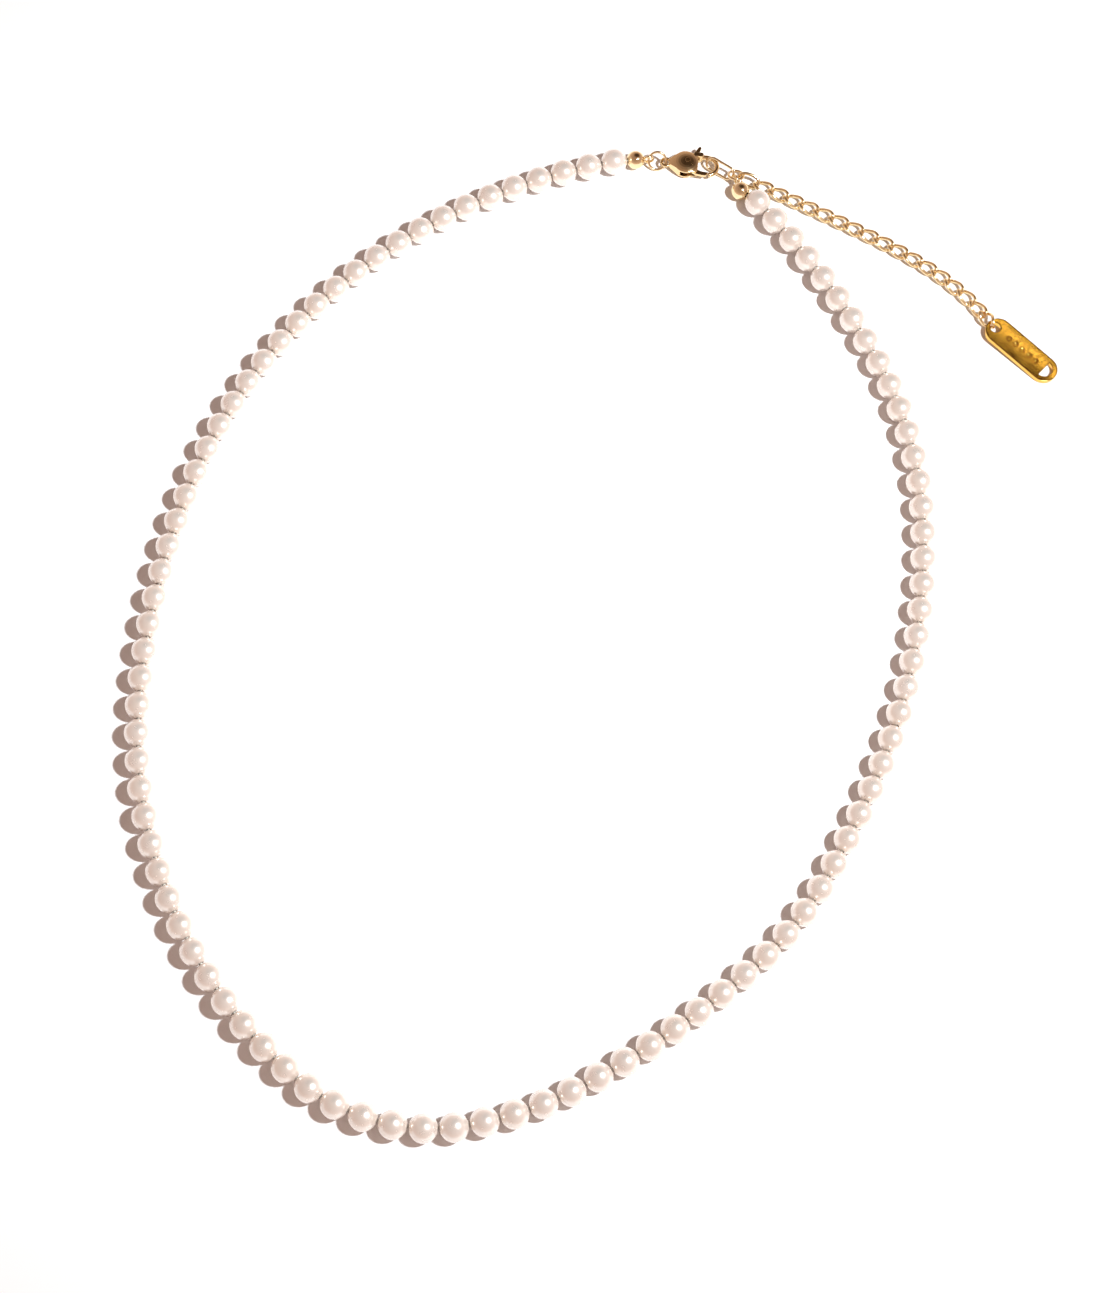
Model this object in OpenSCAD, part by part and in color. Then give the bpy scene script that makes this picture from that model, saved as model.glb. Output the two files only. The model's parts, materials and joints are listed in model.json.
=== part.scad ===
// Pearl necklace with a lobster clasp and an extender chain, laid out flat.
// Millimetres. Z is up, and the necklace lies on the plane z = 0.

/* [Pearls] */
// Diameter of one pearl
pearl_d = 4; // [3.9:0.05:4.05]
// Free gap between neighbouring pearls
pearl_gap = 0.04; // [0.04:0.01:0.08]
// Diameter of the hole drilled through a pearl
bore_d = 0.8; // [0.75:0.05:0.9]
// Diameter of the beading thread
thread_d = 0.36; // [0.3:0.02:0.4]

/* [Bead tips] */
// Outer diameter of the hollow gold ball at each end of the thread
ball_d = 2.8; // [2.7:0.05:2.9]
// Wall thickness of the gold ball
ball_wall = 0.25; // [0.2:0.05:0.3]
// Diameter of the crimp bead that is squeezed on the thread inside the ball
crimp_d = 1.2; // [1:0.05:1.3]

/* [Rings and chain] */
// Wire diameter of the loops and round rings
ring_wire_d = 0.4; // [0.36:0.02:0.42]
// Outer diameter of the jump ring beside the clasp
jump_ring_d = 3.1; // [3:0.05:3.2]
// Outer diameter of the ring that starts the extender
end_ring_d = 2.7; // [2.6:0.05:2.8]
// Wire diameter of an extender link
link_wire_d = 0.5; // [0.46:0.02:0.52]
// Distance from one extender link to the next
link_pitch = 2.55; // [2.5:0.05:2.6]
// Outer width of an extender link before it is twisted
link_w = 2.3; // [2.2:0.05:2.4]

/* [Clasp] */
// Thickness of the clasp's domed housing
clasp_t = 2.3; // [2.2:0.05:2.4]
// Diameter of the hook's round arm
hook_d = 0.72; // [0.66:0.02:0.76]
// Diameter of the rivet that the lever turns on
rivet_d = 0.7; // [0.6:0.05:0.75]

/* [Tag] */
// Length of the flat end tag
tag_l = 13; // [12:0.5:14]
// Width of the tag
tag_w = 4.2; // [4:0.1:4.4]
// Thickness of the tag
tag_t = 0.8; // [0.7:0.05:0.9]

/* [Hidden] */
$fn = 48;

pearl_count = 95;
pearl_r = pearl_d / 2;
pitch = pearl_d + pearl_gap;
ball_r = ball_d / 2;
wire_r = ring_wire_d / 2;
link_wire_r = link_wire_d / 2;
gold = "goldenrod";

// The strand's heading in degrees just after each listed pearl. Pearl 0 is beside the clasp.
strand_headings = [
    [0, -166], [5, -153], [13, -131], [21, -108], [29, -92], [37, -65], [44, -40], [50, 10],
    [54, 28], [61, 41], [65, 59], [69, 65], [79, 89], [86, 115], [93, 129]
];
// The strand bends at joints just after these pearls on the clasp side. Each has a partner half a
// turn further on, and the partners come in parallelograms, so that the closed loop can change shape.
left_joints = [5, 10, 18, 25, 30, 42];
half_loop = 50;

// The extender's heading at the listed links, and the headings of the other short runs
chain_headings = [[0, -26.5], [8, -28.5], [12, -35.5], [15, -47.5], [17, -59.5]];
ball_heading_left = 12;
jump_heading = -6;
clasp_heading = -6;
ball_heading_right = 137;
end_ring_heading = 87;
hooking_heading = -30;
chain_start_heading = -21;
hooking_end_heading = 190;
loop_heading_left = 4;
loop_heading_right = 106;
tag_heading = -43.5;

// How far the rings and the hooking link lean over
jump_ring_lean = 45;
jump_ring_slope = 7.2;
end_ring_lean = -22;
hooking_lean = 51;
hooking_slope = 7.4;

// Heights of the pieces' centres above the plane that they lie on
ball_z = 1.5;
clasp_lift = 0.05;
clasp_z = clasp_t / 2 + clasp_lift;
jump_ring_z = 1.315;
end_ring_z = 1.01;
hooking_z = 1.16;
curb_z = 0.68;
tag_near_z = 1.04;

function unit(v) = v / norm(v);
function dir(a) = [cos(a), sin(a)];
function along(p, a, l) = p + l * dir(a);
function flat_angle(v) = atan2(v.y, v.x);
function rise_angle(v) = atan2(v.z, norm([v.x, v.y]));

// Plan positions, starting from pearl 0, before the whole is centred on the origin
strand = [for (i = 0, p = [0, 0]; i < pearl_count;
    p = along(p, lookup(i, strand_headings), pitch), i = i + 1) p];
ball_step = pearl_r + ball_r + pearl_gap;
left_ball = along(strand[0], ball_heading_left, ball_step);
right_ball = along(strand[pearl_count - 1], ball_heading_right, ball_step);

// The standing loop on a bead tip, which sinks a little into the ball
loop_r = 0.68;
loop_sunk = 0.06;
loop_step = ball_r + loop_r - loop_sunk;
jump_ring_r = jump_ring_d / 2 - wire_r;
end_ring_r = end_ring_d / 2 - wire_r;
left_loop = along(left_ball, loop_heading_left, loop_step);
jump_ring_at = along(left_loop, jump_heading, jump_ring_r);
tail = along(jump_ring_at, jump_heading, jump_ring_r);

right_loop = along(right_ball, loop_heading_right, loop_step);
end_ring_at = along(right_loop, end_ring_heading, end_ring_r);

// Hooking link: a flat oval from inside the clasp's hook to the end ring
hooking_half = 2.3;
hooking_half_w = 0.95;
hooking_end_in = 0.68;
hooking_end = along(end_ring_at, hooking_end_heading, end_ring_r - hooking_end_in);
hooking_at = along(hooking_end, hooking_heading, -hooking_half);

// Extender links. The two end ones have their own tilts.
link_twist = 45;
first_link_z = 0.9;
first_link_roll = 45;
first_link_pitch = 6;
first_link_heading = -22;
first_link_twist = -13;
last_link_z = 0.94;
last_link_roll = 33;
last_link_pitch = -8.4;
last_link_heading = -61.3;
last_link_twist = 74.7;
link_play = 0.04;
link_half = link_pitch / 2 + link_wire_d / 2 + link_play;
link_half_w = link_w / 2 - link_wire_r;
link_count = 18;
chain_start_in = 0.63;
chain_start = along(end_ring_at, chain_start_heading, end_ring_r - chain_start_in + link_half);
chain = [for (i = 0, p = chain_start; i < link_count;
    p = along(p, (lookup(i, chain_headings) + lookup(i + 1, chain_headings)) / 2, link_pitch), i = i + 1) p];
last_link_back = 0.1;
last_link_at = along(chain[link_count - 1], lookup(link_count - 1, chain_headings), -last_link_back);

// Tag, hung from the last link by its small hole
tag_hole_d = 1.6;
tag_r = tag_w / 2;
tag_hole_in = 1.3;
tag_overlap = 1.11;
tag_tip = along(along(last_link_at, last_link_heading, link_half), tag_heading, -tag_overlap);
tag_tilt = asin((tag_near_z - tag_t / 2) / tag_l);

// The origin is under the middle of the necklace's outline
nub_reach = [5.15, 3.2];
nub_top = tail.y + nub_reach.x * sin(clasp_heading) + nub_reach.y * cos(clasp_heading);
low_x = min([for (p = strand) p.x]) - pearl_r;
low_y = min([for (p = strand) p.y]) - pearl_r;
high_x = along(tag_tip, tag_heading, tag_l - tag_r).x + tag_r;
middle = [(low_x + high_x) / 2, (low_y + nub_top) / 2];

function place(p, z) = [p.x - middle.x, p.y - middle.y, z];
pearls = [for (p = strand) place(p, pearl_r)];
beads = concat([place(left_ball, ball_z)], pearls, [place(right_ball, ball_z)]);

// Points halfway between neighbouring beads. Point i lies just before pearl i.
gaps = [for (i = [0 : pearl_count]) (beads[i] + beads[i + 1]) / 2];
gap_dirs = [for (i = [0 : pearl_count]) unit(beads[i + 1] - beads[i])];

// A tube of radius r along points, with dirs as the directions that its sections face
function section(p, d, r, sides) = let (side = unit(cross([0, 0, 1], d)), up = cross(d, side))
    [for (k = [0 : sides - 1]) p + r * (cos(360 * k / sides) * side + sin(360 * k / sides) * up)];
module tube(points, dirs, r, sides = 8, closed = false) {
    count = len(points);
    rings = [for (i = [0 : count - 1]) each section(points[i], dirs[i], r, sides)];
    spans = closed ? count : count - 1;
    walls = [for (i = [0 : spans - 1], k = [0 : sides - 1])
        let (a = i * sides, b = ((i + 1) % count) * sides, n = (k + 1) % sides)
        each [[a + k, a + n, b + n], [a + k, b + n, b + k]]];
    start_cap = [[for (k = [sides - 1 : -1 : 0]) k]];
    end_cap = [[for (k = [0 : sides - 1]) (count - 1) * sides + k]];
    polyhedron(rings, closed ? walls : concat(walls, start_cap, end_cap));
}

// Put a child whose axis is X at a point, pointing along v
module aim(p, v) {
    translate(p) rotate([0, 0, flat_angle(v)]) rotate([0, -rise_angle(v), 0]) children();
}

// ---- Strand ----

module pearl(i) {
    aim(pearls[i], gaps[i + 1] - gaps[i]) rotate([0, 90, 0]) rotate_extrude() intersection() {
        circle(pearl_r);
        translate([bore_d / 2, -pearl_r]) square([pearl_r, pearl_d]);
    }
}

module pearl_run(first, last) {
    color("seashell") for (i = [first : last]) pearl(i);
}

module thread_run(first, last) {
    color("ivory") tube(
        [for (i = [first : last]) gaps[i]], [for (i = [first : last]) gap_dirs[i]], thread_d / 2);
}

// Both ends of the thread stop inside a crimp
crimp_l = 1.1;
crimp_play = 0.04;
module end_thread(first, last, ball, ball_dir) {
    inner = ball - ball_dir * crimp_l / 2;
    points = [for (i = [first : last]) gaps[i]];
    dirs = [for (i = [first : last]) gap_dirs[i]];
    from_left = first == 0;
    color("ivory") tube(
        from_left ? concat([inner], points) : concat(points, [ball + ball_dir * crimp_l / 2]),
        from_left ? concat([ball_dir], dirs) : concat(dirs, [ball_dir]), thread_d / 2);
}

// Segment k on a side runs between two joints. Segment 6 ends at the bead tip.
module left_pearls(k) { pearl_run(k == 6 ? 0 : left_joints[5 - k] + 1, left_joints[6 - k]); }
module left_thread(k) { thread_run(left_joints[5 - k] + 1, left_joints[6 - k] + 1); }
module right_pearls(k) {
    last = k == 6 ? pearl_count - 1 : left_joints[k] + half_loop;
    pearl_run(left_joints[k - 1] + half_loop + 1, last);
}
module right_thread(k) { thread_run(left_joints[k - 1] + half_loop + 1, left_joints[k] + half_loop + 1); }

// ---- Bead tips ----

module wire_ring(r, wire) {
    rotate_extrude() translate([r, 0]) circle(wire, $fn = 24);
}

// A hollow ball with a thread hole on one side and a standing loop on the other
module bead_tip(ball, thread_dir, loop) {
    thread_play = 0.5;
    hole_d = thread_d + thread_play;
    color(gold) {
        difference() {
            union() {
                translate(ball) sphere(ball_r);
                translate(loop) rotate([0, 0, flat_angle(loop - ball)]) rotate([90, 0, 0])
                    wire_ring(loop_r, wire_r);
            }
            translate(ball) sphere(ball_r - ball_wall);
            aim(ball, thread_dir) rotate([0, 90, 0]) cylinder(h = ball_r + 1, d = hole_d);
        }
    }
}

module crimp(ball, thread_dir) {
    color("darkgoldenrod") aim(ball, thread_dir) rotate([0, 90, 0]) difference() {
        cylinder(h = crimp_l, d = crimp_d, center = true);
        cylinder(h = crimp_l + 1, d = thread_d + crimp_play, center = true);
    }
}

// ---- Rings ----

// The jump ring leans over sideways and slopes down from the bead tip's loop to the clasp's tail ring
module jump_ring() {
    color(gold) translate(place(jump_ring_at, jump_ring_z))
        rotate([jump_ring_lean, jump_ring_slope, jump_heading]) wire_ring(jump_ring_r, wire_r);
}

module end_ring() {
    color(gold) translate(place(end_ring_at, end_ring_z)) rotate([end_ring_lean, 0, 0])
        wire_ring(end_ring_r, wire_r);
}

// A flat oval of round wire, long axis X
module oval_link(half, half_w, wire) {
    straight = half - half_w;
    for (s = [0, 1]) mirror([s, 0, 0]) translate([straight, 0, 0])
        rotate([0, 0, -90]) rotate_extrude(angle = 180) translate([half_w, 0]) circle(wire, $fn = 24);
    for (s = [-1, 1]) translate([0, s * half_w, 0]) rotate([0, 90, 0])
        cylinder(h = 2 * straight, r = wire, center = true, $fn = 24);
}

module hooking_link() {
    color(gold) translate(place(hooking_at, hooking_z)) rotate([hooking_lean, hooking_slope, hooking_heading])
        oval_link(hooking_half, hooking_half_w, wire_r);
}

// ---- Extender ----

// Points of a full oval whose two ends are turned opposite ways about its long axis
link_sections = 28;
fullness = 0.8;
function blunt(v) = sign(v) * pow(abs(v), fullness);
function link_point(t, turn) = let (
    x = link_half * blunt(cos(t)),
    y = link_half_w * blunt(sin(t)),
    a = turn * blunt(cos(t))) [x, y * cos(a), y * sin(a)];
function link_dir(t, turn) = unit(link_point(t + 2, turn) - link_point(t - 2, turn));

module twisted_link(turn) {
    ts = [for (i = [0 : link_sections - 1]) 360 * i / link_sections];
    tube([for (t = ts) link_point(t, turn)], [for (t = ts) link_dir(t, turn)], link_wire_r, 8, true);
}

// The links between the two end ones are all alike, each at right angles to its neighbours
module curb_link(k) {
    color(gold) translate(place(chain[k], curb_z)) rotate([0, 0, lookup(k, chain_headings)])
        twisted_link(link_twist);
}

// The first link stands on its edge in the end ring, and the last lifts to pass through the tag
module first_link() {
    color(gold) translate(place(chain[0], first_link_z))
        rotate([first_link_roll, first_link_pitch, first_link_heading]) twisted_link(first_link_twist);
}

module last_link() {
    color(gold) translate(place(last_link_at, last_link_z))
        rotate([last_link_roll, last_link_pitch, last_link_heading]) twisted_link(last_link_twist);
}

// ---- Clasp, drawn from its tail ring at the origin with the hook along +X ----

tail_r = 0.67;
tail_wire_r = 0.22;
housing_r = 1.9;
housing_x = 3.05;
lens_r = 4.9;
pivot = [3.3, 0.2];
slot_h = 0.94;
slot_x = 2.3;
hook_x = 6.4;
hook_r = 1.55;
gate_reach = 3.62;
gate_gap = 0.08;
shoulder_h = 1.6;
lever_t = 0.52;
lever_z = 0.16;
spring_wire_r = 0.13;
spring_z = -0.29;
rivet_fit = 0.02;
lever_play = 0.08;
rivet_sunk = 0.06;

module clasp_frame() {
    translate(place(tail, clasp_z)) rotate([0, 0, clasp_heading]) children();
}

module housing_outline() {
    neck = [0.5, 0.5];
    throat = [1.7, 1.33];
    half_h = 1.65;
    corner = 0.55;
    right = 4.95;
    polygon([neck, throat, [throat.x, -throat.y], [neck.x, -neck.y]]);
    translate([housing_x, 0]) circle(housing_r);
    translate([housing_x, corner - half_h]) square([right - housing_x, 2 * (half_h - corner)]);
    translate([housing_x, -half_h]) square([right - housing_x - corner, 2 * half_h]);
    for (s = [-1, 1]) translate([right - corner, s * (half_h - corner)]) circle(corner, $fn = 24);
}

module housing_lens() {
    intersection() {
        translate([housing_x, 0, lens_r - clasp_t / 2]) sphere(lens_r, $fn = 96);
        translate([housing_x, 0, clasp_t / 2 - lens_r]) sphere(lens_r, $fn = 96);
        translate([0, 0, -clasp_t]) linear_extrude(2 * clasp_t) housing_outline();
    }
}

// The hook leaves the housing's shoulder, rounds the end and stops short of the gate
module hook() {
    end_angle = -80;
    arm_x = 4.4;
    arm_overlap = 0.08;
    arm_extra = 0.03;
    shoulder = [4.2, 5.35];
    translate([hook_x, 0, 0]) rotate([0, 0, end_angle]) rotate_extrude(angle = 90 - end_angle)
        translate([hook_r, 0]) circle(d = hook_d, $fn = 24);
    translate([arm_x, hook_r, 0]) rotate([0, 90, 0])
        cylinder(h = hook_x - arm_x + arm_overlap, d = hook_d + arm_extra, $fn = 24);
    translate([shoulder[1], hook_r, 0]) cylinder(h = shoulder_h, d = hook_d, center = true, $fn = 24);
    translate([shoulder[0], hook_r - hook_d / 2, -shoulder_h / 2])
        cube([shoulder[1] - shoulder[0], hook_d, shoulder_h]);
}

module clasp_body() {
    color(gold) clasp_frame() difference() {
        union() {
            wire_ring(tail_r, tail_wire_r);
            housing_lens();
            hook();
        }
        translate([slot_x, -3, -slot_h / 2]) cube([5.2 - slot_x, 6, slot_h]);
        translate([pivot.x, pivot.y, 0]) cylinder(h = 4, d = rivet_d + rivet_fit, center = true);
        difference() {
            translate([pivot.x, pivot.y, -2]) cylinder(h = 4, r = gate_reach + gate_gap, $fn = 96);
            translate([-1, -0.6, -3]) cube([10, 6, 6]);
            translate([-1, -4, -3]) cube([6.2, 8, 6]);
        }
    }
}

// One lever carries the thumb nub on one side of the pivot and the gate on the other
module lever_outline() {
    intersection() {
        polygon([
            [2.6, -0.2], [3, -0.75], [3.9, -1.35], [4.8, -1.78], [5.6, -1.88], [7, -1.9], [7.2, -1.3],
            [5.6, -1.22], [4.9, -0.95], [4.35, -0.2], [4.5, 0.8], [4.95, 1.7], [5.3, 2.9],
            nub_reach, [4.85, 3.05], [4.35, 2.1], [3.7, 1.2], [3, 0.95], [2.65, 0.5]
        ]);
        translate(pivot) circle(gate_reach, $fn = 96);
    }
}

module clasp_lever() {
    color(gold) clasp_frame() translate([0, 0, lever_z]) difference() {
        translate([0, 0, -lever_t / 2]) linear_extrude(lever_t) lever_outline();
        translate([pivot.x, pivot.y, 0]) cylinder(h = 4, d = rivet_d + lever_play, center = true);
    }
}

module clasp_rivet() {
    color("darkgoldenrod") clasp_frame() translate([pivot.x, pivot.y, 0])
        cylinder(h = clasp_t - rivet_sunk, d = rivet_d, center = true);
}

// A wire spring bent round the rivet, between the lever and the lower cheek
module clasp_spring() {
    coil_play = 0.05;
    coil_r = rivet_d / 2 + spring_wire_r + coil_play;
    leg = 1.5;
    bend = 120;
    color("silver") clasp_frame() translate([pivot.x, pivot.y, spring_z]) {
        rotate([0, 0, 180 - bend / 2]) rotate_extrude(angle = bend) translate([coil_r, 0])
            circle(spring_wire_r, $fn = 16);
        for (s = [0, 1]) mirror([0, s, 0]) rotate([0, 0, 180 - bend / 2]) translate([coil_r, 0, 0])
            rotate([90, 0, 0]) cylinder(h = leg, r = spring_wire_r, $fn = 16);
    }
}

// ---- Tag ----

module tag_outline() {
    translate([tag_r, 0]) circle(tag_r);
    translate([tag_l - tag_r, 0]) circle(tag_r);
    translate([tag_r, -tag_r]) square([tag_l - tag_w, tag_w]);
}

module tag() {
    window_r = 1.3;
    dot_d = 0.7;
    dot_depth = 0.12;
    first_dot = 4;
    dot_pitch = 1.3;
    color(gold) translate(place(tag_tip, tag_near_z)) rotate([0, tag_tilt, tag_heading]) difference() {
        translate([0, 0, -tag_t / 2]) linear_extrude(tag_t) tag_outline();
        translate([tag_hole_in, 0, 0]) cylinder(h = 3, d = tag_hole_d, center = true);
        translate([tag_l - tag_r, 0, 0]) intersection() {
            cylinder(h = 3, r = window_r, center = true);
            translate([0, -2, -2]) cube(4);
        }
        for (k = [0 : 4]) translate([first_dot + dot_pitch * k, 0, tag_t / 2 - dot_depth])
            cylinder(h = 1, d = dot_d);
    }
}

// ---- Nodes ----

left_dir = beads[1] - beads[0];
right_dir = beads[pearl_count] - beads[pearl_count + 1];

pearl_run(left_joints[5] + 1, left_joints[0] + half_loop);  // pearls_root
thread_run(left_joints[5] + 1, left_joints[0] + half_loop + 1);  // thread_root
left_pearls(1);  // pearls_left_1
left_pearls(2);  // pearls_left_2
left_pearls(3);  // pearls_left_3
left_pearls(4);  // pearls_left_4
left_pearls(5);  // pearls_left_5
left_pearls(6);  // pearls_left_6
left_thread(1);  // thread_left_1
left_thread(2);  // thread_left_2
left_thread(3);  // thread_left_3
left_thread(4);  // thread_left_4
left_thread(5);  // thread_left_5
end_thread(0, left_joints[0] + 1, beads[0], unit(left_dir));  // thread_left_6
right_pearls(1);  // pearls_right_1
right_pearls(2);  // pearls_right_2
right_pearls(3);  // pearls_right_3
right_pearls(4);  // pearls_right_4
right_pearls(5);  // pearls_right_5
right_pearls(6);  // pearls_right_6
right_thread(1);  // thread_right_1
right_thread(2);  // thread_right_2
right_thread(3);  // thread_right_3
right_thread(4);  // thread_right_4
right_thread(5);  // thread_right_5
end_thread(left_joints[5] + half_loop + 1, pearl_count, beads[pearl_count + 1], -unit(right_dir));  // thread_right_6
bead_tip(beads[0], left_dir, place(left_loop, ball_z));  // bead_tip_left
bead_tip(beads[pearl_count + 1], right_dir, place(right_loop, ball_z));  // bead_tip_right
crimp(beads[0], left_dir);  // crimp_left
crimp(beads[pearl_count + 1], right_dir);  // crimp_right
jump_ring();
clasp_body();
clasp_lever();
clasp_rivet();
clasp_spring();
end_ring();
hooking_link();
first_link();  // link_01
curb_link(1);  // link_02
curb_link(2);  // link_03
curb_link(3);  // link_04
curb_link(4);  // link_05
curb_link(5);  // link_06
curb_link(6);  // link_07
curb_link(7);  // link_08
curb_link(8);  // link_09
curb_link(9);  // link_10
curb_link(10);  // link_11
curb_link(11);  // link_12
curb_link(12);  // link_13
curb_link(13);  // link_14
curb_link(14);  // link_15
curb_link(15);  // link_16
curb_link(16);  // link_17
last_link();  // link_18
tag();
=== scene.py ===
"""Pearl necklace with a lobster clasp, an extender chain and a tag, on a white table.

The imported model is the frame. The pearls, rings, links, bead tips, clasp and tag are rebuilt on their
CAD nodes as finer meshes. The thread, crimps, rivet and spring keep their CAD shapes.
"""

import json
import math
import random

import bmesh
import bpy
from mathutils import Matrix, Vector, noise
import numpy as np


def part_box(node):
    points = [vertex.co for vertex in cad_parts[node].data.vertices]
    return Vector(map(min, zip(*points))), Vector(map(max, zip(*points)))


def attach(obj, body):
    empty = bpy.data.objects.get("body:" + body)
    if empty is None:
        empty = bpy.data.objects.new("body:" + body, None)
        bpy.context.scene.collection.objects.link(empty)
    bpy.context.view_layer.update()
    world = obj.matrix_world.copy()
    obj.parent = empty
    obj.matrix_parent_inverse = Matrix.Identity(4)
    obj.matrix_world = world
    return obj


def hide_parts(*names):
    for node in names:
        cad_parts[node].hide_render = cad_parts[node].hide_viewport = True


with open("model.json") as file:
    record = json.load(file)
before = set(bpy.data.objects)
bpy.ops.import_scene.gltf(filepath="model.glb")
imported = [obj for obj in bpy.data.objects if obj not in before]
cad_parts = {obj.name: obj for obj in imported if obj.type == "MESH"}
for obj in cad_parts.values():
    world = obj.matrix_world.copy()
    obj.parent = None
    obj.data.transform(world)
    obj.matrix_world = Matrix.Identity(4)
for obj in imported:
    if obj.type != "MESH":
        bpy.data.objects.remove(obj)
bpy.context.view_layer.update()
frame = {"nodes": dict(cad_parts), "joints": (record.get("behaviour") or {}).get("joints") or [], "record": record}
nodes = frame["nodes"]
record = frame["record"]
body_of = {node: body for body, members in record["behaviour"]["bodies"].items() for node in members}
slot_of = {part["node"]: part["material_slot"] for part in record["subparts"]}

MM = 0.001
UP = Vector((0, 0, 1))

# The camera
CAMERA_AT = Vector((-21.25, -119.7, 301.4)) * MM
CAMERA_TURN = Vector((0.3603, -0.0399, 0))
CAMERA_LENS = 63.1

# The lamp, to the right of the necklace and aimed past its left side
LAMP_AT = Vector((172.5, -40, 332)) * MM
LAMP_AIM = Vector((-110, 40, 0)) * MM
LAMP_SIZE = 30 * MM
LAMP_WATTS = 0.83
LAMP_SPREAD = math.radians(105)
LAMP_COLOUR = (0.9, 0.97, 1.0)

# The room's colour from the horizon up
ROOM_STOPS = ((0.0, (0.8, 0.6, 0.52)), (0.4, (0.54, 0.38, 0.32)), (0.9, (0.37, 0.25, 0.2)))

# The dark part of the room, which the clasp and the tag mirror into the camera
DARK_TOWARDS = (0.2, 0.48, 0.854)
DARK_STOPS = ((0.78, (1, 1, 1)), (0.96, (0.15, 0.13, 0.1)))

# A long window of the room that shows in the tag's face
WINDOW_FAR = 400 * MM
WINDOW_SIZE = (44 * MM, 1.7 * MM)
WINDOW_GLOW = 4.2
WINDOW_ASIDE = -1.5 * MM
WINDOW_COLOUR = (1.0, 0.86, 0.5)

TABLE_HALF = 1200 * MM

# Dimensions shared with the CAD source
PEARL_R = 2 * MM
BORE_R = 0.4 * MM
BALL_R = 1.4 * MM
RING_WIRE_R = 0.2 * MM
LINK_WIRE_R = 0.25 * MM
LINK_TWIST = 45
END_LINK_TWISTS = {"link_01": -13, "link_18": 74.7}

# Pearls: the drilled hole narrows to its mouth, and only the skin outside it acts as a mirror
MOUTH_R = 0.33 * MM
MOUTH_FROM, MOUTH_TO, BORE_FROM = 0.03 * MM, 0.12 * MM, 0.3 * MM
MOUTH_ROUNDING = 0.02
NACRE_MIRROR = 0.5

# How much smaller noise makes a pearl, at least and at most, and how many waves go across it
SHRINK = (0.006, 0.022)
SHRINK_WAVES = 1.1

# The pearls' tint, and the most that one pearl is lighter or warmer than that
PEARL_TINT = Vector((0.86, 0.77, 0.69))
LIGHTER = Vector((0.02, 0.02, 0.02))
WARMER = Vector((0, -0.01, -0.02))

# Bead tips: a hollow ball with a thread hole, a shallow closing seam and a loop sunk into it
BALL_HOLE_R = 0.43 * MM
BALL_WALL = 0.25 * MM
BALL_POLE = math.pi - 0.002
SEAM_DEPTH = 0.02 * MM
SEAM_WIDTH = 0.02
LOOP_SUNK = 0.06 * MM

# Rings: half the angle of the cut where the wire's ends meet
RING_CUT = 0.012

# Links: below 1 fills out an oval's four corners
LINK_FULLNESS = 0.8

# The waves in the tag's polished face, where normals follow its mount's axis this closely
TAG_WAVE = 0.003 * MM
TAG_WAVE_LENGTH = 2.4 * MM
TAG_FACE_COSINE = 0.9

# Mesh fineness
PEARL_SPANS = 44
PEARL_RINGS = 34
BALL_SPANS = 56
BALL_RINGS = 40
WIRE_SIDES = 20
WIRE_STEPS = 96


# ---- Reading the frame ----

def cad_points(node):
    """The vertices of a CAD node, one row each."""
    mesh = nodes[node].data
    flat = np.zeros(len(mesh.vertices) * 3)
    mesh.vertices.foreach_get("co", flat)
    return flat.reshape(-1, 3)


def cad_centre(node):
    low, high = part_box(node)
    return (low + high) / 2


def solid_centres(node):
    """The centre of each separate solid in a CAD node."""
    bm = bmesh.new()
    bm.from_mesh(nodes[node].data)
    bmesh.ops.remove_doubles(bm, verts=bm.verts, dist=1e-3 * MM)
    centres = []
    seen = set()
    for start in bm.verts:
        if start in seen:
            continue
        seen.add(start)
        solid = [start]
        for vert in solid:  # which grows as it is walked
            fresh = [edge.other_vert(vert) for edge in vert.link_edges]
            fresh = [other for other in fresh if other not in seen]
            seen.update(fresh)
            solid.extend(fresh)
        low = Vector([min(vert.co[k] for vert in solid) for k in range(3)])
        high = Vector([max(vert.co[k] for vert in solid) for k in range(3)])
        centres.append((low + high) / 2)
    bm.free()
    return centres


def own_frame(node):
    """A CAD node's centre and its longest, middle and shortest directions, as a 4x4 matrix."""
    points = cad_points(node)
    centre = np.array(cad_centre(node))
    spread = (points - centre).T @ (points - centre)
    long, middle = (Vector(np.linalg.eigh(spread)[1][:, k]) for k in (2, 1))
    short = long.cross(middle)
    turn = Matrix((long, middle, short)).transposed().to_4x4()
    return Matrix.Translation(Vector(centre)) @ turn


def reach(node, axis):
    """Half a CAD node's length along a direction."""
    along = cad_points(node) @ np.array(axis)
    return (along.max() - along.min()) / 2


def joint_at(name):
    return Vector(next(joint for joint in frame["joints"] if joint["name"] == name)["pos_m"])


def mount_axis(name):
    return Vector(next(mount for mount in record["mounts"] if mount["name"] == name)["axis"])


# ---- Making meshes ----

def spaced(start, end, steps):
    """Evenly spaced values from start to end, both included."""
    return [start + (end - start) * i / steps for i in range(steps + 1)]


def full_turn(count, offset=0.0):
    """Evenly spaced angles once round."""
    return [2 * math.pi * (k + offset) / count for k in range(count)]


def circle(centre, side, other, radius, count):
    """Points round a circle in the plane of two directions."""
    return [centre + radius * (math.cos(a) * side + math.sin(a) * other) for a in full_turn(count)]


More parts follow.
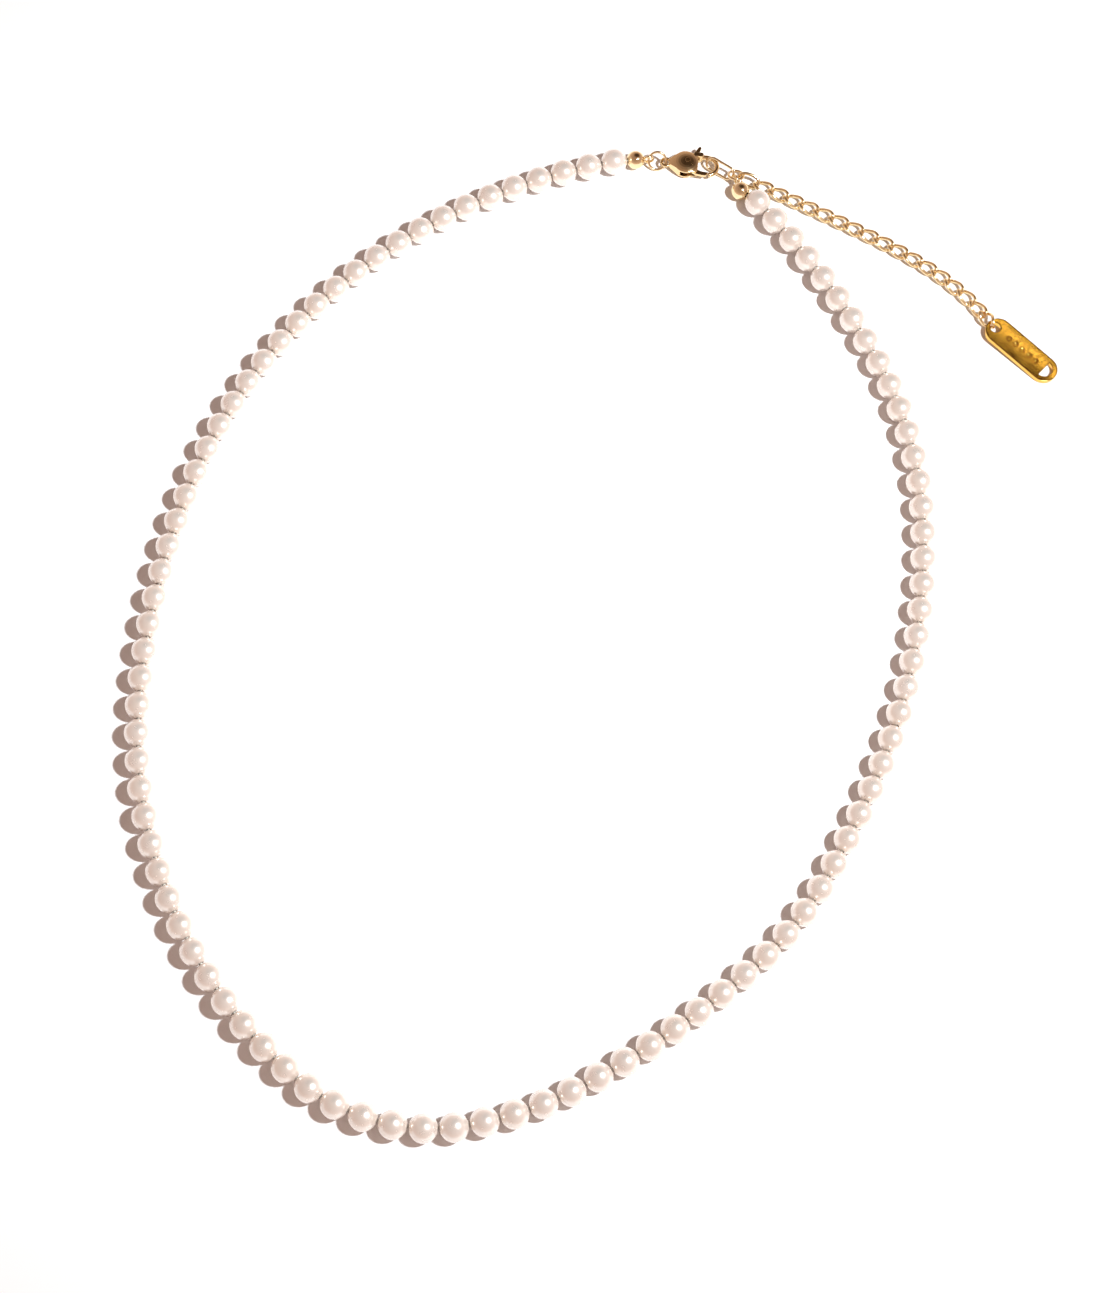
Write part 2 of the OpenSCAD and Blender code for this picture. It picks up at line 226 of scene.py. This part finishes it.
def grid_mesh(name, rows, close_rows, caps=False):
    """A mesh through equally long rings of points, each ring closed on itself."""
    count = len(rows)
    sides = len(rows[0])
    verts = [point for row in rows for point in row]
    spans = count if close_rows else count - 1
    faces = []
    for i in range(spans):
        a, b = i * sides, ((i + 1) % count) * sides
        for k in range(sides):
            n = (k + 1) % sides
            faces.append((a + k, a + n, b + n, b + k))
    if caps:
        faces.append(tuple(reversed(range(sides))))
        faces.append(tuple((count - 1) * sides + k for k in range(sides)))
    mesh = bpy.data.meshes.new(name)
    mesh.from_pydata([tuple(v) for v in verts], [], faces)
    return mesh


def wire_mesh(name, path, radius, up, closed=True):
    """Round wire along a path of points, which nowhere runs along up."""
    count = len(path)
    rows = []
    for i, point in enumerate(path):
        ahead = path[(i + 1) % count] if closed or i < count - 1 else point
        behind = path[i - 1] if closed or i > 0 else point
        forward = (ahead - behind).normalized()
        side = up.cross(forward).normalized()
        rows.append(circle(point, side, forward.cross(side), radius, WIRE_SIDES))
    return grid_mesh(name, rows, closed, caps=not closed)


def lathe_mesh(name, rows):
    return grid_mesh(name, rows, close_rows=True)


def lathe_rows(profile, centre, axis, sides):
    """Rings of points for a profile of (radius, height) pairs turned about an axis."""
    side = axis.orthogonal().normalized()
    other = axis.cross(side)
    return [circle(centre + axis * height, side, other, radius, sides) for radius, height in profile]


def join_meshes(name, meshes):
    """One mesh from several, which are used up."""
    bm = bmesh.new()
    for mesh in meshes:
        bm.from_mesh(mesh)
        bpy.data.meshes.remove(mesh)
    joined = bpy.data.meshes.new(name)
    bm.to_mesh(joined)
    bm.free()
    return joined


def recast(node, voxel, smoothing):
    """A CAD node's shape with the softened edges of a casting."""
    mesh = nodes[node].data.copy()
    mesh.transform(Matrix.Scale(1 / MM, 4))
    mesh.materials.clear()
    rough = bpy.data.objects.new(fine(node), mesh)
    bpy.context.scene.collection.objects.link(rough)
    remesh = rough.modifiers.new("remesh", "REMESH")
    remesh.mode = "VOXEL"
    remesh.voxel_size = voxel / MM
    smooth = rough.modifiers.new("smooth", "SMOOTH")
    smooth.factor = 0.5
    smooth.iterations = smoothing
    graph = bpy.context.evaluated_depsgraph_get()
    done = bpy.data.meshes.new_from_object(rough.evaluated_get(graph))
    bpy.data.objects.remove(rough)
    bpy.data.meshes.remove(mesh)
    done.transform(Matrix.Scale(MM, 4))
    return done


def wave_at(place):
    """Smooth noise at a place, from about 0 to 1."""
    return 0.5 + 0.5 * noise.noise(place)


# ---- Materials ----

class Shader:
    """A material's node tree, with its Principled shader."""

    def __init__(self, name, colour, inputs):
        self.material = bpy.data.materials.new(name)
        self.material.use_nodes = True
        self.tree = self.material.node_tree
        self.surface = self.tree.nodes["Principled BSDF"]
        self.surface.inputs["Base Color"].default_value = (*colour, 1)
        for key, value in inputs.items():
            self.surface.inputs[key].default_value = value
        self.place = self.node("ShaderNodeTexCoord").outputs["Object"]

    def node(self, kind, **settings):
        made = self.tree.nodes.new(kind)
        for key, value in settings.items():
            setattr(made, key, value)
        return made

    def link(self, source, target):
        self.tree.links.new(source, target)

    def noise(self, size, detail=3, stretch=(1, 1, 1)):
        """Smooth noise whose features are about size across, from 0 to 1."""
        scaled = self.node("ShaderNodeMapping")
        scaled.inputs["Scale"].default_value = stretch
        self.link(self.place, scaled.inputs["Vector"])
        texture = self.node("ShaderNodeTexNoise")
        texture.inputs["Scale"].default_value = 1 / size
        texture.inputs["Detail"].default_value = detail
        self.link(scaled.outputs["Vector"], texture.inputs["Vector"])
        return texture.outputs["Fac"]

    def mix(self, factor, low, high):
        """Blend two colours, or a colour attribute and a colour, into the surface's colour."""
        blend = self.node("ShaderNodeMix", data_type="RGBA")
        self.link(factor, blend.inputs["Factor"])
        for value, socket in ((low, blend.inputs[6]), (high, blend.inputs[7])):
            if isinstance(value, tuple):
                socket.default_value = (*value, 1)
            else:
                self.link(value, socket)
        self.link(blend.outputs[2], self.surface.inputs["Base Color"])

    def polish(self, factor, low, high):
        """Let the roughness vary between two values."""
        ramp = self.node("ShaderNodeMapRange")
        ramp.inputs["From Min"].default_value = 0.3
        ramp.inputs["From Max"].default_value = 0.7
        ramp.inputs["To Min"].default_value = low
        ramp.inputs["To Max"].default_value = high
        self.link(factor, ramp.inputs["Value"])
        self.link(ramp.outputs["Result"], self.surface.inputs["Roughness"])

    def bump(self, height, depth):
        relief = self.node("ShaderNodeBump")
        relief.inputs["Distance"].default_value = depth
        relief.inputs["Strength"].default_value = 1
        self.link(height, relief.inputs["Height"])
        self.link(relief.outputs["Normal"], self.surface.inputs["Normal"])


def nacre():
    """Satin pearl: half mirror, half milky, under a clear gloss, tinted pearl by pearl."""
    shader = Shader("nacre", (0.88, 0.8, 0.75), {
        "IOR": 1.6, "Coat Weight": 0.6, "Coat Roughness": 0.12, "Coat IOR": 1.5})
    tint = shader.node("ShaderNodeAttribute", attribute_name="tint").outputs["Color"]
    mirror = shader.node("ShaderNodeAttribute", attribute_name="mirror").outputs["Fac"]
    shader.link(mirror, shader.surface.inputs["Metallic"])
    shader.mix(shader.noise(1.6 * MM), tint, (0.84, 0.76, 0.71))
    shader.polish(shader.noise(0.7 * MM), 0.22, 0.28)
    shader.bump(shader.noise(0.12 * MM, detail=5), 0.001 * MM)
    return shader.material


def gold(name, light, deep, roughness, relief=0.003 * MM):
    """Polished gold plate: two tones, uneven polish and a very fine drawn grain."""
    shader = Shader(name, light, {"Metallic": 1.0})
    shader.mix(shader.noise(1.5 * MM), light, deep)
    shader.polish(shader.noise(0.5 * MM), roughness * 0.75, roughness * 1.3)
    shader.bump(shader.noise(0.25 * MM, detail=6), relief)
    return shader.material


def spun_thread():
    """Off-white thread, with its fibres drawn out along one direction."""
    shader = Shader("thread", (0.86, 0.83, 0.76), {"Roughness": 0.8, "Sheen Weight": 0.3})
    shader.mix(shader.noise(0.05 * MM, stretch=(1, 3, 1)), (0.9, 0.87, 0.8), (0.72, 0.68, 0.6))
    shader.bump(shader.noise(0.04 * MM), 0.01 * MM)
    return shader.material


def spring_wire():
    """Grey steel wire with fine drawing marks."""
    shader = Shader("spring_wire", (0.7, 0.7, 0.7), {"Metallic": 1.0})
    shader.polish(shader.noise(0.2 * MM), 0.2, 0.35)
    shader.bump(shader.noise(0.05 * MM, stretch=(1, 1, 6)), 0.002 * MM)
    return shader.material


def table_top():
    """A matt white top, very slightly uneven."""
    shader = Shader("table_top", (0.86, 0.85, 0.86), {"Roughness": 0.9})
    shader.mix(shader.noise(60 * MM), (0.88, 0.87, 0.88), (0.86, 0.845, 0.85))
    return shader.material


MATERIALS = {
    "pearl": nacre(),
    "thread": spun_thread(),
    "ring_gold": gold("ring_gold", (0.96, 0.8, 0.52), (0.9, 0.68, 0.38), 0.11),
    "clasp_gold": gold("clasp_gold", (0.93, 0.74, 0.44), (0.84, 0.6, 0.3), 0.12),
    "chain_gold": gold("chain_gold", (0.95, 0.78, 0.48), (0.88, 0.65, 0.34), 0.13),
    "tag_gold": gold("tag_gold", (0.9, 0.55, 0.12), (0.8, 0.44, 0.07), 0.06, relief=0.0004 * MM),
    "spring_steel": spring_wire(),
}


# ---- Putting pieces in the frame ----

def fine(node):
    """The name of the piece that replaces a CAD node."""
    return node + "_fine"


def add_piece(node, mesh):
    """A finished mesh that replaces a CAD node and rides on its body."""
    for face in mesh.polygons:
        face.use_smooth = True
    mesh.materials.append(MATERIALS[slot_of[node]])
    piece = bpy.data.objects.new(fine(node), mesh)
    bpy.context.scene.collection.objects.link(piece)
    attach(piece, body_of[node])
    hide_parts(node)


def dress(node):
    """A CAD node that keeps its own shape and takes a finished material."""
    data = nodes[node].data
    data.materials.clear()
    data.materials.append(MATERIALS[slot_of[node]])


# ---- Pearls ----

def in_order(points, start):
    """Points sorted by always stepping to the nearest one left."""
    left = list(points)
    ordered = []
    while left:
        start = min(left, key=lambda p: (p - start).length)
        left.remove(start)
        ordered.append(start)
    return ordered


def bead_centres():
    """The centres along the strand, from the left bead tip to the right one."""
    left_end, right_end = cad_centre("crimp_left"), cad_centre("crimp_right")
    pearls = [centre for node in nodes if node.startswith("pearls") for centre in solid_centres(node)]
    return [left_end, *in_order(pearls, left_end), right_end]


def pearl_profile():
    """The outline of a drilled pearl, round the outside and back through its hole."""
    first = math.asin(MOUTH_R / PEARL_R) + MOUTH_ROUNDING
    turns = spaced(first, math.pi - first, PEARL_RINGS)
    outside = [(PEARL_R * math.sin(t), PEARL_R * math.cos(t)) for t in turns]
    lip = PEARL_R * math.cos(first)
    hole = [(MOUTH_R, MOUTH_FROM - lip), (MOUTH_R, MOUTH_TO - lip), (BORE_R, BORE_FROM - lip)]
    return outside + hole + [(BORE_R, 0)] + [(radius, -height) for radius, height in reversed(hole)]


def uneven(rows, centre, seed, depth):
    """Rings of points drawn in by smooth noise, never out, as a grown pearl is."""
    shift = Vector((seed, 2 * seed, 3 * seed))
    for row in rows:
        for k, point in enumerate(row):
            out = point - centre
            wave = wave_at(out.normalized() * SHRINK_WAVES + shift)
            row[k] = centre + out * (1 - depth * min(1, max(0, wave)))
    return rows


def make_pearls(beads):
    """Each length of the strand as one piece, whose pearls differ a little in shape and tint.

    They are made in their order along the strand, so that every run draws the same random values.
    """
    rng = random.Random(4)
    profile = pearl_profile()
    for node in [name for name in nodes if name.startswith("pearls")]:
        shells, tints = [], []
        for centre in sorted(solid_centres(node), key=beads.index):
            i = beads.index(centre)
            axis = (beads[i + 1] - beads[i - 1]).normalized()
            shell = lathe_rows(profile, centre, axis, PEARL_SPANS)
            shells.append(lathe_mesh(node, uneven(shell, centre, 7 + 11 * i, rng.uniform(*SHRINK))))
            warmth, shade = rng.uniform(-1, 1), rng.uniform(-1, 1)
            tints.append((*(PEARL_TINT + shade * LIGHTER + warmth * WARMER), 1))
        mesh = join_meshes(fine(node), shells)
        paint_pearls(mesh, tints, len(profile) * PEARL_SPANS)
        add_piece(node, mesh)


def paint_pearls(mesh, tints, verts_each):
    """Write each pearl's tint, and how far its outside and its hole act as a mirror."""
    tint = mesh.attributes.new("tint", "FLOAT_COLOR", "POINT")
    tint.data.foreach_set("color", [value for t in tints for _ in range(verts_each) for value in t])
    outside = (PEARL_RINGS + 1) * PEARL_SPANS
    one_pearl = [NACRE_MIRROR] * outside + [0.0] * (verts_each - outside)
    mirror = mesh.attributes.new("mirror", "FLOAT", "POINT")
    mirror.data.foreach_set("value", one_pearl * len(tints))


# ---- Rings and links ----

def add_wire(node, path, radius, up, closed=True):
    """A bent wire that replaces a CAD node."""
    add_piece(node, wire_mesh(fine(node), path, radius, up, closed))


def oval(node, wire_r):
    """A CAD node's own frame, and half the length and width of its wire's centre line."""
    place = own_frame(node)
    axes = place.to_3x3()
    half_long, half_wide = (reach(node, axes.col[k]) - wire_r for k in (0, 1))
    return place, axes.col[2], half_long, half_wide


def make_ring(node):
    """A round ring with a narrow cut where its wire's ends meet."""
    place, up, radius, _ = oval(node, RING_WIRE_R)
    turns = spaced(RING_CUT, 2 * math.pi - RING_CUT, WIRE_STEPS)
    path = [place @ Vector((radius * math.cos(t), radius * math.sin(t), 0)) for t in turns]
    add_wire(node, path, RING_WIRE_R, up, closed=False)


def make_hooking_link(node):
    """A flat link with straight sides and half-round ends."""
    place, up, half_long, half_wide = oval(node, RING_WIRE_R)
    path = []
    for turn in full_turn(WIRE_STEPS):
        end = math.copysign(half_long - half_wide, math.cos(turn))
        path.append(place @ Vector((end + half_wide * math.cos(turn), half_wide * math.sin(turn), 0)))
    add_wire(node, path, RING_WIRE_R, up)


def filled_out(value):
    return math.copysign(abs(value) ** LINK_FULLNESS, value)


def make_link(node, twist):
    """A full oval link whose two ends are turned opposite ways about its long axis."""
    place, up, half_long, half_wide = oval(node, LINK_WIRE_R)
    path = []
    for turn in full_turn(WIRE_STEPS, offset=0.5):
        along, across = filled_out(math.cos(turn)), half_wide * filled_out(math.sin(turn))
        roll = math.radians(twist) * along
        path.append(place @ Vector((half_long * along, across * math.cos(roll), across * math.sin(roll))))
    add_wire(node, path, LINK_WIRE_R, up)


def make_chain():
    for node in sorted(name for name in nodes if name.startswith("link_")):
        make_link(node, END_LINK_TWISTS.get(node, LINK_TWIST))


# ---- Bead tips ----

def ball_profile():
    """The outline of a hollow ball open at its thread hole, out and back, with its closing seam."""
    turns = spaced(math.asin(BALL_HOLE_R / BALL_R), BALL_POLE, BALL_RINGS)
    outer = []
    for t in turns:
        radius = BALL_R - SEAM_DEPTH * math.exp(-((t - math.pi / 2) / SEAM_WIDTH) ** 2)
        outer.append((radius * math.sin(t), radius * math.cos(t)))
    inner_r = BALL_R - BALL_WALL
    turns_back = spaced(math.asin(BALL_HOLE_R / inner_r), BALL_POLE, BALL_RINGS)[::-1]
    return outer + [(inner_r * math.sin(t), inner_r * math.cos(t)) for t in turns_back]


def make_bead_tip(side, loop, pearl):
    """A thin gold ball that opens towards its pearl, and a wire loop that stands on it."""
    node = "bead_tip_" + side
    ball = cad_centre("crimp_" + side)
    towards_pearl = (pearl - ball).normalized()
    towards_loop = (loop - ball).normalized()
    shell = lathe_mesh(node, lathe_rows(ball_profile(), ball, towards_pearl, BALL_SPANS))
    loop_r = (loop - ball).length - BALL_R + LOOP_SUNK
    path = circle(loop, towards_loop, UP, loop_r, WIRE_STEPS)
    ring = wire_mesh(node, path, RING_WIRE_R, towards_loop.cross(UP).normalized())
    add_piece(node, join_meshes(fine(node), (shell, ring)))


# ---- Clasp and tag ----

def make_clasp():
    for node in ("clasp_body", "clasp_lever"):
        add_piece(node, recast(node, voxel=0.04 * MM, smoothing=5))


def make_tag(node):
    """The flat tag with softened edges and a face that is a little wavy from polishing."""
    mesh = recast(node, voxel=0.05 * MM, smoothing=3)
    face_up = mount_axis("tag_face")
    normals = [vert.normal.copy() for vert in mesh.vertices]
    for vert, normal in zip(mesh.vertices, normals):
        if normal.dot(face_up) > TAG_FACE_COSINE:
            vert.co -= face_up * TAG_WAVE * wave_at(vert.co / TAG_WAVE_LENGTH)
    add_piece(node, mesh)


# ---- Stage ----

def make_table():
    bm = bmesh.new()
    bmesh.ops.create_grid(bm, x_segments=8, y_segments=8, size=TABLE_HALF)
    mesh = bpy.data.meshes.new("table")
    bm.to_mesh(mesh)
    bm.free()
    mesh.materials.append(table_top())
    table = bpy.data.objects.new("table", mesh)
    bpy.context.scene.collection.objects.link(table)


def add_light(name, colour, watts, place):
    """An area light that shines along its own -Z axis."""
    light = bpy.data.lights.new(name, "AREA")
    light.color = colour
    light.energy = watts
    holder = bpy.data.objects.new(name, light)
    holder.matrix_world = place
    bpy.context.scene.collection.objects.link(holder)
    return light


def make_lamp():
    turn = (LAMP_AIM - LAMP_AT).to_track_quat("-Z", "Y").to_matrix().to_4x4()
    lamp = add_light("lamp", LAMP_COLOUR, LAMP_WATTS, Matrix.Translation(LAMP_AT) @ turn)
    lamp.shape = "DISK"
    lamp.size = LAMP_SIZE
    lamp.spread = LAMP_SPREAD


def make_window():
    """A faint long window, placed where the tag's face mirrors it into the camera."""
    tag_at = cad_centre("tag")
    face_up = mount_axis("tag_face")
    seen = (tag_at - CAMERA_AT).normalized()
    mirrored = seen - 2 * seen.dot(face_up) * face_up
    across = mirrored.cross(own_frame("tag").to_3x3().col[0]).normalized()
    turn = Matrix((across.cross(mirrored), across, mirrored)).transposed().to_4x4()
    at = tag_at + WINDOW_FAR * mirrored + WINDOW_ASIDE * across
    watts = WINDOW_GLOW * math.pi * WINDOW_SIZE[0] * WINDOW_SIZE[1]
    window = add_light("window", WINDOW_COLOUR, watts, Matrix.Translation(at) @ turn)
    window.shape = "RECTANGLE"
    window.size, window.size_y = WINDOW_SIZE


def colour_ramp(tree, value, stops):
    """A colour that follows a value through (position, colour) stops."""
    ramp = tree.nodes.new("ShaderNodeValToRGB")
    tree.links.new(value, ramp.inputs["Fac"])
    elements = ramp.color_ramp.elements
    for position, _ in stops[1:-1]:
        elements.new(position)
    for element, (position, colour) in zip(elements, stops):
        element.position = position
        element.color = (*colour, 1)
    return ramp.outputs["Color"]


def make_room():
    """A soft room, lighter at the horizon than overhead, with one dark part."""
    world = bpy.data.worlds.new("room")
    bpy.context.scene.world = world
    world.use_nodes = True
    tree = world.node_tree
    towards = tree.nodes.new("ShaderNodeTexCoord").outputs["Generated"]
    split = tree.nodes.new("ShaderNodeSeparateXYZ")
    tree.links.new(towards, split.inputs["Vector"])
    facing = tree.nodes.new("ShaderNodeVectorMath")
    facing.operation = "DOT_PRODUCT"
    facing.inputs[1].default_value = DARK_TOWARDS
    tree.links.new(towards, facing.inputs[0])
    both = tree.nodes.new("ShaderNodeMix")
    both.data_type = "RGBA"
    both.blend_type = "MULTIPLY"
    both.inputs["Factor"].default_value = 1
    tree.links.new(colour_ramp(tree, split.outputs["Z"], ROOM_STOPS), both.inputs[6])
    tree.links.new(colour_ramp(tree, facing.outputs["Value"], DARK_STOPS), both.inputs[7])
    tree.links.new(both.outputs[2], tree.nodes["Background"].inputs["Color"])
    tree.nodes["Background"].inputs["Strength"].default_value = 1


def make_camera():
    lens = bpy.data.cameras.new("camera")
    lens.lens = CAMERA_LENS
    lens.sensor_width = 36
    lens.clip_start = 10 * MM
    camera = bpy.data.objects.new("camera", lens)
    turn = Matrix.Rotation(CAMERA_TURN.length, 4, CAMERA_TURN.normalized())
    camera.matrix_world = Matrix.Translation(CAMERA_AT) @ turn
    bpy.context.scene.collection.objects.link(camera)
    bpy.context.scene.camera = camera


make_camera()
make_table()
make_lamp()
make_window()
make_room()
beads = bead_centres()
make_pearls(beads)
for ring in ("jump_ring", "end_ring"):
    make_ring(ring)
make_hooking_link("hooking_link")
make_chain()
make_bead_tip("left", joint_at("jump_ring_swing"), beads[1])
make_bead_tip("right", joint_at("end_ring_swing"), beads[-2])
make_clasp()
make_tag("tag")
for name in nodes:
    if name.startswith(("thread", "crimp", "clasp_rivet", "clasp_spring")):
        dress(name)

bpy.context.scene.view_settings.view_transform = "Standard"
